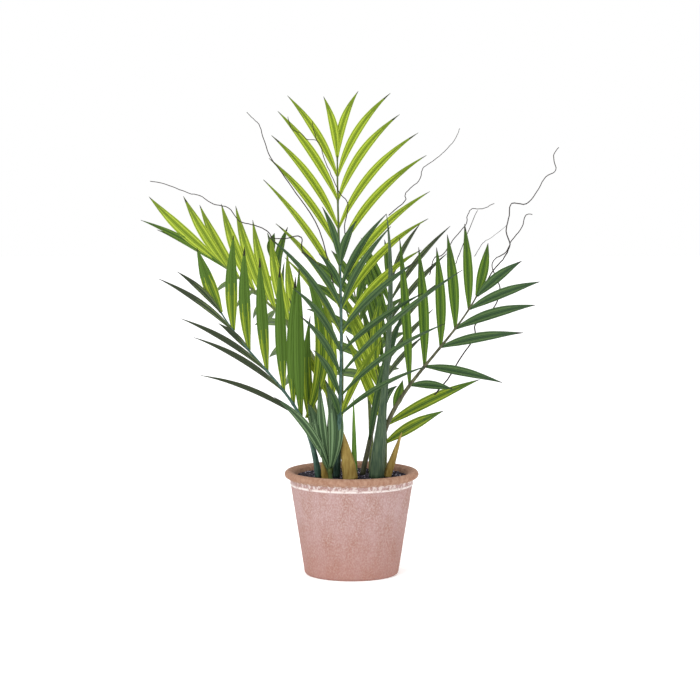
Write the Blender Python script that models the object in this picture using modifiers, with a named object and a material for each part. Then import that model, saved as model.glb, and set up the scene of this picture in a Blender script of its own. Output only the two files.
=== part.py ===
"""Artificial areca palm in a terracotta pot: fronds on bare stems, low leaves and leaf sheaths.

Blender 4.5, metres, +Z up. The origin is the centre of the pot's flat underside, and the
front of the plant faces -Y. Points and lengths in the charts below are in millimetres.
"""

import math
from typing import NamedTuple

import bmesh
import bpy
from mathutils import Matrix, Vector

MM = 0.001
COLLECTION_NAME = "potted_areca_palm"
MEETING_GAP = 0.3

# Pot, turned round its upright axis
POT_HEIGHT = 117.0
FOOT_RADIUS = 53.0
FOOT_ROUNDING = 4.0
SHOULDER_RADIUS = 69.2
SHOULDER_HEIGHT = 107.5
RIM_RADIUS = 75.0
RIM_BEAD_RADIUS = 4.2
LINE_HEIGHT = 102.0
LINE_PROUD = 0.9
WALL = 5.5
FLOOR = 9.0
POT_STEPS = 48

# Filling, whose flat top is the soil
SOIL_HEIGHT = 110.0

# Leaves
BLADE_THICKNESS = 0.8
LEAFLET_STATIONS = (0.0, 0.3, 0.66)
LEAFLET_FOOT = 3.2
WIDEST_AT = 0.42
RIB_TIP_WIDTH = 1.6
STEM_SIDES = 2
STEM_POINTS = 9
FOOT_LENGTH = 3.0


class Side(NamedTuple):
    """The leaflets on one side of a frond, listed from its tip down to its lowest pair.

    end is the length and the angle of the leaflet at the rib's tip. lengths and angles give
    the first, middle and lowest of the others, and odd the ones that break the rule, with
    their own lift and bow where these differ too. An angle is measured from the rib. lift
    raises a leaflet towards the frond's face, and roll turns its blade about its own length:
    each is given at the tip and at the lowest pair.
    """

    end: tuple
    lengths: tuple
    angles: tuple
    lift: tuple = (0, 0)
    roll: tuple = (0, 0)
    bow: float = 0.25
    odd: dict = {}


class Frond(NamedTuple):
    """A frond: its rib's curve, the way its face looks, its pairs and its two sides."""

    name: str
    foot: tuple
    rise: tuple
    bend: tuple
    tip: tuple
    face: tuple
    joints: tuple
    stem_radii: tuple
    width: float
    right: Side
    left: Side


FRONDS = (
    Frond(
        "tall_frond",
        foot=(-16, 10),
        rise=(-5, 20, 229),
        bend=(-16, 36, 347),
        tip=(-16, 40, 466),
        face=(0, -1, -0.1),
        joints=(1, 0.94, 0.866, 0.777, 0.703, 0.595, 0.52, 0.44),
        stem_radii=(2.8, 1.7),
        width=9.5,
        right=Side((77, 18), (110, 146, 132), (34, 45, 45), (14, 14), (10, 30), 0.32, {2: (118, 38)}),
        left=Side((69, 13), (106, 131, 108), (32, 36, 36), (14, 14), (10, 65), 0.22, {5: (147, 35)}),
    ),
    Frond(
        "front_frond",
        foot=(-17, -12),
        rise=(-12, -40, 193),
        bend=(-10, -85, 276),
        tip=(-12, -115, 354),
        face=(0, -1, -0.3),
        joints=(1, 0.90, 0.81, 0.70, 0.60, 0.495, 0.388, 0.297),
        stem_radii=(3.9, 1.9),
        width=10.0,
        right=Side(
            (55, 19), (102, 160, 119), (29, 40, 52), (8, 8), (30, 40), 0.22,
            {2: (113, 28), 3: (120, 41), 4: (118, 47), 5: (190, 42), 6: (151, 47)},
        ),
        left=Side((71, 14), (49, 120, 60), (28, 33, 30), (8, 60), (20, 40), 0.2, {3: (143, 33, 8)}),
    ),
    Frond(
        "left_front_frond",
        foot=(-37, -15),
        rise=(-46, -35, 206),
        bend=(-100, -65, 230),
        tip=(-140, -100, 302),
        face=(0.1, -1, 0.3),
        joints=(1, 0.89, 0.76, 0.62, 0.485, 0.40, 0.32),
        stem_radii=(3.6, 1.7),
        width=14.0,
        right=Side((79, 10), (105, 133, 171), (35.5, 36, 25.5), (0, 0), (0, 0), 0.08, {5: (144, 33)}),
        left=Side(
            (73, 14), (112, 130, 138), (17, 17, 35), (10, 10), (35, 60), 0.16, {2: (51, 7), 5: None}
        ),
    ),
    Frond(
        "left_back_frond",
        foot=(-23, 16),
        rise=(-12, 35, 241),
        bend=(-62, 85, 270),
        tip=(-156, 120, 345),
        face=(0.2, -1, 0.3),
        joints=(1, 0.943, 0.89, 0.81, 0.745, 0.695, 0.62, 0.545),
        stem_radii=(3.0, 1.7),
        width=12.5,
        right=Side(
            (114, 3), (108, 122, 112), (18, 29, 26), (0, 0), (0, 0), 0.1, {2: (105, 21), 4: (131, 28)}
        ),
        left=Side(
            (103, 12, 0), (85, 70, 40), (62, 72, 78), (-80, -86), (30, 30), 0.15,
            {1: (99, 10, -8), 6: None, 7: None},
        ),
    ),
    Frond(
        "right_frond",
        foot=(31, 1),
        rise=(24, -12, 198),
        bend=(101, -35, 246),
        tip=(137, -45, 316),
        face=(-0.1, -1, 0.3),
        joints=(1, 0.93, 0.82, 0.71, 0.59, 0.475, 0.34),
        stem_radii=(3.6, 2.2),
        width=11.5,
        right=Side(
            (64, 24), (87, 97, 60), (36, 43, 75), (10, 10), (25, 35), 0.16,
            {4: (95, 59), 5: (52, 55), 6: None},
        ),
        left=Side((59, 16), (93, 119, 205), (36, 43, 36), (0, 0), (0, 0), 0.06, {2: (103, 43), 6: (34, 12)}),
    ),
    Frond(
        "right_back_frond",
        foot=(12, 6),
        rise=(27, 20, 179),
        bend=(45, 60, 246),
        tip=(44, 110, 317),
        face=(0, -1, 0.2),
        joints=(1, 0.90, 0.79, 0.68, 0.56, 0.45),
        stem_radii=(2.9, 1.7),
        width=8.5,
        right=Side((91, 24), (126, 102, 78), (33, 32, 29), (0, 0), (60, 60), 0.15),
        left=Side((62, 4), (93, 120, 110), (22, 21, 22), (0, 0), (20, 20), 0.05),
    ),
    Frond(
        "back_left_frond",
        foot=(-30, 24),
        rise=(-31, 50, 192),
        bend=(-91, 120, 287),
        tip=(-95, 150, 347),
        face=(0.1, -1, 0.2),
        joints=(1, 0.88, 0.78, 0.68, 0.57, 0.46),
        stem_radii=(2.8, 1.6),
        width=11.0,
        right=Side((31, 11), (79, 95, 90), (24, 20, 30), (0, -75), (30, 30), 0.15),
        left=Side((32, 5), (75, 95, 95), (38, 60, 75), (-55, -80), (30, 30), 0.15),
    ),
    Frond(
        "low_right_frond",
        foot=(36, 9),
        rise=(40, 14, 150),
        bend=(38, 22, 190),
        tip=(27, 36, 226),
        face=(0, -1, 0.2),
        joints=(1, 0.80, 0.46, 0.30),
        stem_radii=(2.6, 2.0),
        width=13.0,
        right=Side((90, 20), (105, 119, 74), (45, 67, 61), (0, 0), (20, 20), 0.1, {1: None}),
        left=Side((95, 6), (100, 112, 90), (12, 20, 20), (0, 0), (10, 10), 0.05, {3: None}),
    ),
    Frond(
        "back_frond",
        foot=(22, 26),
        rise=(24, 60, 185),
        bend=(15, 130, 250),
        tip=(2, 180, 310),
        face=(0, -1, 0.3),
        joints=(1, 0.90, 0.80, 0.69, 0.58, 0.47),
        stem_radii=(2.8, 1.6),
        width=11.0,
        right=Side((60, 16), (95, 115, 100), (28, 40, 55), (0, -60), (10, 10), 0.2),
        left=Side((60, 16), (95, 115, 100), (28, 40, 55), (0, -60), (10, 10), 0.2),
    ),
    Frond(
        "low_front_leaves",
        foot=(-23, -30),
        rise=(-24, -30, 117),
        bend=(-25, -30, 122),
        tip=(-25, -31, 130),
        face=(0, -1, 0),
        joints=(1, 0.75, 0.5),
        stem_radii=(2.2, 2.0),
        width=9.5,
        right=Side((86, 3), (0, 0, 0), (0, 0, 0), (0, 0), (0, 0), 0.0, {1: None, 2: None}),
        left=Side((92, 6), (78, 98, 118), (14, 25, 36), (6, 6), (0, 35), -0.12, {2: (114, 33, 38, 0.36)}),
    ),
)


class Sheath(NamedTuple):
    """A pointed leaf base that stands on the soil, with its widest radius at its foot."""

    name: str
    foot: tuple
    tip: tuple
    radius: float


SHEATHS = (
    Sheath("centre_sheath", (-2, -25), (-10, -24, 164), 8.4),
    Sheath("left_sheath", (-29.5, -22), (-33, -24, 129), 4.0),
    Sheath("right_sheath", (39, -7), (56, -4, 160), 4.6),
    Sheath("young_leaf", (3, -12), (2, -14, 200), 3.2),
)
SHEATH_PROFILE = ((0, 1), (0.3, 0.92), (0.62, 0.62), (0.86, 0.3), (1, 0.1))

# Thick leaf that rises, still rolled, in front of the right frond's stem
SPEAR_FOOT = (27, -16)
SPEAR_RISE = (36, -16, 205)
SPEAR_BEND = (50, -18, 320)
SPEAR_TIP = (38.4, -20, 404)
SPEAR_PROFILE = ((0, 8.4), (0.1, 7.6), (0.25, 4.4), (0.42, 3.0), (0.62, 2.9), (0.8, 2.2), (0.93, 1.1), (1, 0.3))


def unit(vector):
    return Vector(vector).normalized()


def make_material(name, colour, roughness):
    material = bpy.data.materials.new(name)
    material.use_nodes = True
    shader = material.node_tree.nodes["Principled BSDF"]
    shader.inputs["Base Color"].default_value = (*colour, 1)
    shader.inputs["Roughness"].default_value = roughness
    material.diffuse_color = (*colour, 1)
    return material


def add_object(name, data, material, collection):
    item = bpy.data.objects.new(name, data)
    item.data.materials.append(material)
    collection.objects.link(item)
    return item


def curve_point(foot, rise, bend, tip, t):
    """The point at t, from 0 to 1, on the cubic curve from a foot on the soil to a tip."""
    handles = (Vector((*foot, SOIL_HEIGHT + MEETING_GAP)), Vector(rise), Vector(bend), Vector(tip))
    weights = ((1 - t) ** 3, 3 * (1 - t) ** 2 * t, 3 * (1 - t) * t**2, t**3)
    return sum((w * h for w, h in zip(weights, handles)), Vector()) * MM


class Rib:
    """A frond's rib, read by the share of its length from the soil."""

    SAMPLES = 200

    def __init__(self, frond):
        curve = (frond.foot, frond.rise, frond.bend, frond.tip)
        self.points = [curve_point(*curve, i / self.SAMPLES) for i in range(self.SAMPLES + 1)]
        self.runs = [0.0]
        for a, b in zip(self.points, self.points[1:]):
            self.runs.append(self.runs[-1] + (b - a).length)
        self.length = self.runs[-1]

    def at(self, share):
        wanted = min(max(share, 0.0), 1.0) * self.length
        i = 0
        while i < self.SAMPLES - 1 and self.runs[i + 1] < wanted:
            i += 1
        along = (wanted - self.runs[i]) / (self.runs[i + 1] - self.runs[i])
        return self.points[i].lerp(self.points[i + 1], along)

    def heading(self, share):
        reach = 1 / self.SAMPLES
        return (self.at(share) - self.at(share - reach)).normalized()


def frond_axes(rib, share, face):
    """Along the rib, across it to the right as its face is seen, and out of its face."""
    along = rib.heading(share)
    across = along.cross(unit(face)).normalized()
    return along, across, across.cross(along)


def between(values, share):
    """The value at share on the parabola through the first, middle and last value."""
    first, middle, last = values
    return first + (4 * middle - 3 * first - last) * share + (2 * first - 4 * middle + 2 * last) * share**2


def mix(pair, share):
    return pair[0] + (pair[1] - pair[0]) * share


def leaflet_chart(side, index, count):
    """Length, angle, lift and bow of one leaflet, or None where the frond has none."""
    share = (index - 1) / max(count - 2, 1)
    chart = (between(side.lengths, share), between(side.angles, share))
    if index == 0:
        chart = side.end
    if index in side.odd:
        chart = side.odd[index]
    if chart is None:
        return None
    usual = (mix(side.lift, index / (count - 1)), side.bow)
    return (*chart, *usual[len(chart) - 2:])


def blade_width(share):
    """Width at share of a leaflet's length, as a part of its widest: narrow foot, long point."""
    if share < WIDEST_AT:
        return 0.3 + 0.7 * math.sin(share / WIDEST_AT * math.pi / 2)
    return math.cos((share - WIDEST_AT) / (1 - WIDEST_AT) * math.pi / 2) ** 0.8


def leaflet_axes(frond, rib, index, right):
    """The axes of one leaflet: its way, its bow's way and its flat blade's way, or None."""
    side = frond.right if right else frond.left
    count = len(frond.joints)
    chart = leaflet_chart(side, index, count)
    if chart is None:
        return None
    length, angle, lift, bend = chart
    share = index / (count - 1)
    along, across, out = frond_axes(rib, frond.joints[index], frond.face)
    hand = 1 if right else -1
    lift = math.radians(lift)
    sideways = hand * across * math.cos(lift) + out * math.sin(lift)
    turn = math.radians(angle)
    way = along * math.cos(turn) + sideways * math.sin(turn)
    bow = sideways * math.cos(turn) - along * math.sin(turn)
    roll = Matrix.Rotation(math.radians(mix(side.roll, share)) * hand, 3, way)
    return length * MM, way, bow * bend, roll @ bow * hand


def leaflet_outline(frond, rib, index, right, start):
    """Left and right points of a leaflet at each station, and its tip, from its foot at start."""
    found = leaflet_axes(frond, rib, index, right)
    if found is None:
        return None
    length, way, bow, flat = found

    def centre(share):
        return start + length * (share * way + (share**2 - share) * bow)

    pairs = []
    for share in LEAFLET_STATIONS[1:]:
        half = flat * frond.width / 2 * MM * blade_width(share)
        pairs.append((centre(share) - half, centre(share) + half))
    return pairs, centre(1)


def build_frond(frond, material, collection):
    """One thin blade: a strip for the rib, with a strip for each leaflet joined to its edge."""
    rib = Rib(frond)
    bm = bmesh.new()
    joints = list(reversed(list(enumerate(frond.joints))))
    half_foot = LEAFLET_FOOT / 2 * MM / rib.length
    neck_width = frond.stem_radii[1] * 2
    lowest = frond.joints[-1]

    def rib_edge(share):
        along, across, out = frond_axes(rib, share, frond.face)
        grown = (share - lowest) / (1 - lowest)
        half = across * mix((neck_width, RIB_TIP_WIDTH), max(grown, 0)) / 2 * MM
        point = rib.at(share)
        return bm.verts.new(point - half), bm.verts.new(point + half)

    below = rib_edge(lowest - 2.4 * half_foot)
    for index, joint in joints:
        at_tip = index == 0
        foot = rib_edge(joint - (2.2 if at_tip else 1) * half_foot)
        head = rib_edge(joint - (0.2 if at_tip else -1) * half_foot)
        bm.faces.new((below[0], below[1], foot[1], foot[0]))
        bm.faces.new((foot[0], foot[1], head[1], head[0]))
        for right in (True, False):
            low, high = (foot[1], head[1]) if right else (foot[0], head[0])
            found = leaflet_outline(frond, rib, index, right, (low.co + high.co) / 2)
            if found is None:
                continue
            add_leaflet(bm, low, high, found, right)
        below = head
    mesh = bpy.data.meshes.new(frond.name)
    bmesh.ops.recalc_face_normals(bm, faces=bm.faces)
    bm.to_mesh(mesh)
    bm.free()
    blade = add_object(frond.name, mesh, material, collection)
    thicken = blade.modifiers.new("Thickness", "SOLIDIFY")
    thicken.thickness = BLADE_THICKNESS * MM
    thicken.offset = 0
    return rib


def add_leaflet(bm, low, high, outline, right):
    """Faces from a rib's edge, low to high, through the pairs of an outline to its tip."""
    pairs, tip = outline
    last = (low, high)
    for first, second in pairs:
        a, b = bm.verts.new(first), bm.verts.new(second)
        if (a.co - low.co).length > (b.co - low.co).length:
            a, b = b, a
        corners = (last[0], a, b, last[1]) if right else (last[1], b, a, last[0])
        bm.faces.new(corners)
        last = (a, b)
    end = bm.verts.new(tip)
    bm.faces.new((last[0], end, last[1]) if right else (last[1], end, last[0]))


def poly_tube(name, points, radii, material, collection):
    """A tube through points, with a radius at each, from a curve with a round bevel."""
    curve = bpy.data.curves.new(name, "CURVE")
    curve.dimensions = "3D"
    curve.bevel_depth = 1.0
    curve.bevel_resolution = STEM_SIDES
    curve.use_fill_caps = True
    curve.twist_mode = "MINIMUM"
    spline = curve.splines.new("POLY")
    spline.points.add(len(points) - 1)
    for spot, point, radius in zip(spline.points, points, radii):
        spot.co = (*point, 1)
        spot.radius = radius
    return add_object(name, curve, material, collection)


def build_stem(frond, rib, material, collection):
    """The bare, tapering part of a rib, from a flat cut on the soil to the lowest leaflets."""
    top = frond.joints[-1] - (2.4 * LEAFLET_FOOT / 2 + MEETING_GAP) * MM / rib.length
    points = [rib.at(0)]
    radii = [frond.stem_radii[0] * MM]
    first = FOOT_LENGTH * MM / rib.length
    for i in range(STEM_POINTS - 1):
        share = mix((first, top), i / (STEM_POINTS - 2))
        points.append(rib.at(share))
        radii.append(mix(frond.stem_radii, share / top) * MM)
    points[1] = Vector((points[0].x, points[0].y, points[1].z))
    name = frond.name.replace("frond", "stem").replace("leaves", "stem")
    poly_tube(name, points, radii, material, collection)


def build_pot(material, collection):
    """The pot's section, turned: floor, wall, rolled rim, shoulder, line, rounded foot."""
    inner_floor = FOOT_RADIUS - WALL
    inner_mouth = SHOULDER_RADIUS - WALL
    bead_height = POT_HEIGHT - RIM_BEAD_RADIUS
    bead_centre = RIM_RADIUS - RIM_BEAD_RADIUS
    section = [(0, FLOOR), (inner_floor, FLOOR), (inner_mouth, POT_HEIGHT - 2.2)]
    for degrees in (125, 90, 55, 20, -15, -50, -80):
        turn = math.radians(degrees)
        section.append(
            (
                bead_centre + RIM_BEAD_RADIUS * math.cos(turn),
                bead_height + RIM_BEAD_RADIUS * math.sin(turn),
            )
        )
    slope = (SHOULDER_RADIUS - FOOT_RADIUS) / (SHOULDER_HEIGHT - FOOT_ROUNDING)

    def wall_radius(height):
        return FOOT_RADIUS + slope * (height - FOOT_ROUNDING)

    section.append((wall_radius(SHOULDER_HEIGHT), SHOULDER_HEIGHT))
    section.append((wall_radius(LINE_HEIGHT) + 0.1, LINE_HEIGHT + 1.2))
    section.append((wall_radius(LINE_HEIGHT) + LINE_PROUD, LINE_HEIGHT))
    section.append((wall_radius(LINE_HEIGHT), LINE_HEIGHT - 1.4))
    for degrees in (0, -30, -60, -90):
        turn = math.radians(degrees)
        section.append(
            (
                FOOT_RADIUS - FOOT_ROUNDING + FOOT_ROUNDING * math.cos(turn),
                FOOT_ROUNDING + FOOT_ROUNDING * math.sin(turn),
            )
        )
    section.append((0, 0))
    turn_section("pot", section, material, collection)


def build_soil(material, collection):
    """The filling, clear of the pot's wall and floor, with a flat top."""
    inner_floor = FOOT_RADIUS - WALL
    inner_mouth = SHOULDER_RADIUS - WALL
    lean = (inner_mouth - inner_floor) / (POT_HEIGHT - 2.2 - FLOOR)
    low = FLOOR + MEETING_GAP
    gap = MEETING_GAP * 1.6
    section = [
        (0, SOIL_HEIGHT),
        (inner_floor + lean * (SOIL_HEIGHT - FLOOR) - gap, SOIL_HEIGHT),
        (inner_floor + lean * (low - FLOOR) - gap, low),
        (0, low),
    ]
    turn_section("soil", section, material, collection)


def turn_section(name, section, material, collection):
    """A solid turned round Z from an open section whose ends lie on the axis."""
    mesh = bpy.data.meshes.new(name)
    points = [(radius * MM, 0, height * MM) for radius, height in section]
    mesh.from_pydata(points, [(i, i + 1) for i in range(len(points) - 1)], [])
    solid = add_object(name, mesh, material, collection)
    turned = solid.modifiers.new("Turned", "SCREW")
    turned.axis = "Z"
    turned.angle = 2 * math.pi
    turned.steps = POT_STEPS
    turned.render_steps = POT_STEPS
    turned.use_merge_vertices = True
    turned.merge_threshold = 0.00001
    return solid


def build_sheath(sheath, material, collection):
    """A leaf base or rolled leaf: a tube from a flat cut on the soil, drawn out to a point."""
    foot = Vector((*sheath.foot, SOIL_HEIGHT + MEETING_GAP))
    tip = Vector(sheath.tip)
    points, radii = [foot * MM], [sheath.radius * MM]
    for share, fullness in SHEATH_PROFILE:
        start = foot + Vector((0, 0, FOOT_LENGTH))
        points.append(start.lerp(tip, share) * MM)
        radii.append(sheath.radius * fullness * MM)
    poly_tube(sheath.name, points, radii, material, collection)


def build_spear(material, collection):
    """The rolled spear leaf, thick at its foot and drawn out to a long point."""
    curve = (SPEAR_FOOT, SPEAR_RISE, SPEAR_BEND, SPEAR_TIP)
    points = [curve_point(*curve, share) for share, _ in SPEAR_PROFILE]
    radii = [radius * MM for _, radius in SPEAR_PROFILE]
    points.insert(1, points[0] + Vector((0, 0, FOOT_LENGTH * MM)))
    radii.insert(1, radii[0])
    poly_tube("spear_leaf", points, radii, material, collection)


def main():
    for item in list(bpy.data.objects):
        bpy.data.objects.remove(item)
    collection = bpy.data.collections.new(COLLECTION_NAME)
    bpy.context.scene.collection.children.link(collection)
    terracotta = make_material("fired terracotta", (0.62, 0.36, 0.30), 0.9)
    potting = make_material("dark gravelly soil", (0.03, 0.02, 0.03), 1.0)
    dark_leaf = make_material("moulded dark green leaf", (0.05, 0.16, 0.06), 0.5)
    stem_green = make_material("painted olive stem", (0.12, 0.17, 0.06), 0.55)
    ochre = make_material("painted ochre sheath", (0.45, 0.31, 0.09), 0.6)

    build_pot(terracotta, collection)
    build_soil(potting, collection)
    for frond in FRONDS:
        rib = build_frond(frond, dark_leaf, collection)
        build_stem(frond, rib, stem_green, collection)
    for sheath in SHEATHS:
        build_sheath(sheath, ochre, collection)
    build_spear(stem_green, collection)


main()
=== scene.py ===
"""Look of the artificial areca palm in its terracotta pot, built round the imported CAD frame.

Blender 4.5, metres, +Z up, the front of the plant faces -Y. Charts are in millimetres.
"""

import math
import random
from typing import NamedTuple

import bpy
from bpy.props import FloatProperty, FloatVectorProperty, IntProperty, PointerProperty
from mathutils import Matrix, Vector, noise


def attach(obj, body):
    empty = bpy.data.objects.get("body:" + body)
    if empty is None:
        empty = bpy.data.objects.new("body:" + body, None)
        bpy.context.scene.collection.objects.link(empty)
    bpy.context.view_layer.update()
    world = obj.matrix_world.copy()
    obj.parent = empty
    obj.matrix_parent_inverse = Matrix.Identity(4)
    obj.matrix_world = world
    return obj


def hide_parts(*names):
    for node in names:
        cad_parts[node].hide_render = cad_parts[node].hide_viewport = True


bl_info = {
    "name": "Potted areca palm",
    "version": (1, 0, 0),
    "blender": (4, 5, 0),
    "location": "3D View > Sidebar > Palm",
    "description": "Builds an artificial areca palm in a terracotta pot",
    "category": "Object",
}

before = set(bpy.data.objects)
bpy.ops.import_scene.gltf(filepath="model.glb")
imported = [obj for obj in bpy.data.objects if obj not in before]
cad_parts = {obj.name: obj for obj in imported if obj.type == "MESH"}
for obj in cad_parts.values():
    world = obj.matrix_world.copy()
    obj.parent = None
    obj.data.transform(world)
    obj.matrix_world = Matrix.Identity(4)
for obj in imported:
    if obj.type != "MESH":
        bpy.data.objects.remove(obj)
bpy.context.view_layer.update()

MM = 0.001
SOIL_HEIGHT = 110.0
MEETING_GAP = 0.3

# Pot, turned round its upright axis, with its section from the foot to the rim
POT_HEIGHT = 117.0
POT_FLOOR = 9.0
FOOT_RADIUS = 53.0
FOOT_ROUNDING = 4.0
FOOT_STEP = 15
BODY_TOP = 99.0
BODY_RINGS = 24
SHOULDER_RADIUS = 69.2
SHOULDER_HEIGHT = 107.5
RIM_RADIUS = 75.0
RIM_BEAD_RADIUS = 4.2
RIM_BEAD_START = 130
RIM_BEAD_STEP = 10
WALL = 5.5
STRAIGHT_DOWN = -90
# Inside of the mouth: each ring's depth below the rim, and how far it is drawn in
MOUTH_SECTION = ((7.0, 0.6), (2.6, 0))
# Raised line below the rim: each ring's height, and how far it stands out of the wall
LINE_HEIGHT = 102.0
LINE_SECTION = (
    (107.2, 0), (104.4, 0), (103.3, 0.15), (102.6, 0.6), (LINE_HEIGHT, 0.8), (101.3, 0.6), (100.5, 0.1),
)
# Unevenness of the turned clay: how far it stands out in mm, and its waves in one radius
CLAY_WAVES = (0.16, 7)
CLAY_PITS = (0.09, 31)
CLAY_SHIFT = Vector((0, 0, 5))
RADII_PER_MM = 0.02
LINE_WAVES = (0.35, 18)
LINE_SINK = 0.05
LINE_REACH = 2.2
EVEN_FOOT = 0.5

# Soil's surface, strewn with granules
SURFACE_SIDES = 64
SURFACE_GAP = 1.8
SURFACE_SINK = 0.6
GRANULE_DENSITY = 260000.0
# Chance: each granule's turn in radians, and its form by the granule size
GRANULE_CHANCE = {"turn": ((0, 0, 0), (6.28, 6.28, 6.28)), "form": ((0.5, 0.5, 0.4), (1.5, 1.3, 0.9))}
GREY_FROM = 0.72
PALE_FROM = 0.9

# Stems, sheaths and twigs: rings along each, faces round it, and its ridges' depth and number
STEM_RINGS = 60
STEM_SIDES = 14
STEM_RIDGES = (0.07, 4)
RIB_TIP_RADIUS = 0.75
NODE_SWELLING = 0.35
NODE_REACH = 2.2
SHEATH_RINGS = 30
SHEATH_SIDES = 20
SHEATH_RIDGES = (0.09, 3)
SPEAR_RINGS = 60
SPEAR_RIDGES = (0.08, 5)
TWIG_SIDES = 6
TWIG_STEPS = 5
TWIG_WANDER = 0.35
TWIG_TIP = 0.55
TUBE_UNEVENNESS = 0.06
TUBE_GRAIN = 120

# Leaflets: the outline's width by share of the length, and where each paint lies across it:
# 0 is the midrib and 0.5 the edge. The pale stripe and edge are painted light along the pleats, and the
# dark veins are the leaf's own veins and painted shade along the pleats. Real veins are finer than these,
# which are wide enough to show
OUTLINE = (
    (0, 0.26), (0.1, 0.5), (0.25, 0.84), (0.42, 1), (0.58, 0.93), (0.73, 0.68), (0.87, 0.35), (1, 0.03),
)
PLEATS = 8.0
TWIST_START = 0.3
MIDRIB_REACH = 0.05
STRIPE_PLACE = 0.25
STRIPE_REACH = 0.05
PALE_EDGE = 0.44
# Dark veins: the leaf's own veins, and painted shade along the pleats
INNER_VEIN_AND_SHADE = 0.156
OUTER_VEIN_AND_SHADE = 0.406
VEIN_AND_SHADE_REACH = 0.02
FRAY_WAVES = 9.0
FRAY_DEPTH = 0.16
RIB_GAP = 0.4
INNER_UPPER = 0.7
# How far a blade's middle moves, by its bow
MIDDLE_BOW = -0.25
# Chance: each blade's width, its arch by its length, its twist in radians and its paints' borders
WIDTH_CHANCE = (0.94, 1.06)
ARCH_CHANCE = (-0.05, 0.12)
TWIST_CHANCE = (-0.35, 0.35)
UPPER_CHANCE = (-0.04, 0.04)
TIP_START = 0.945
TIP_CHANCE = (-0.02, 0.02)

# Camera that took the photograph, and the studio round the plant
CAMERA_PLACE = (-0.0018, -2.7, 0.515)
CAMERA_PITCH = 5.563
CAMERA_LENS = 125.1
CAMERA_SENSOR = 36.0
FLOOR_REACH = 6.0
FLOOR_ROUGHNESS = 1.0
FLOOR_GLOSS = 0.5
FLOOR_GLOW = 0.25
LIGHT_AIM = Vector((0, 0, 0.25))
# Each light's name, place, width and share of the key light's power
LIGHTS = (("key", (-1.3, -2.2, 2.4), 1.8, 1.0), ("fill", (1.8, -1.6, 1.2), 1.6, 0.12))


class Side(NamedTuple):
    """The leaflets on one side of a frond, listed from its tip down to its lowest pair.

    end is the length and the angle of the leaflet at the rib's tip. lengths and angles give
    the first, middle and lowest of the others, and odd the ones that break the rule, with
    their own lift and bow where these differ too, or None for a leaflet that is missing. An
    angle is measured from the rib. lift raises a leaflet towards the frond's face, roll turns
    its blade about its own length, and each runs evenly from the tip to the lowest pair. bow
    is how far a leaflet curves away from the rib, as a part of its length, and slim its width
    as a part of the frond's.
    """

    end: tuple
    lengths: tuple
    angles: tuple
    lift: tuple = (0, 0)
    roll: tuple = (0, 0)
    bow: float = 0.25
    odd: dict = {}
    slim: float = 1.0


class Frond(NamedTuple):
    """A frond: its rib's curve, the way its face looks, its pairs, its sides and its paints.

    curve holds its foot on the soil, two handles and its tip. joints are the places of its
    pairs by share of the rib, from the tip down. width is that of its leaflets, and paints are
    those of its right and its left ones. upper is where their upper paint starts by share of
    their length, at the tip and what each pair below adds to that.
    """

    name: str
    curve: tuple
    face: tuple
    joints: tuple
    stem_radii: tuple
    width: float
    right: Side
    left: Side
    paints: tuple
    stem_paint: str
    upper: tuple = (0.8, 0.0)


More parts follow.
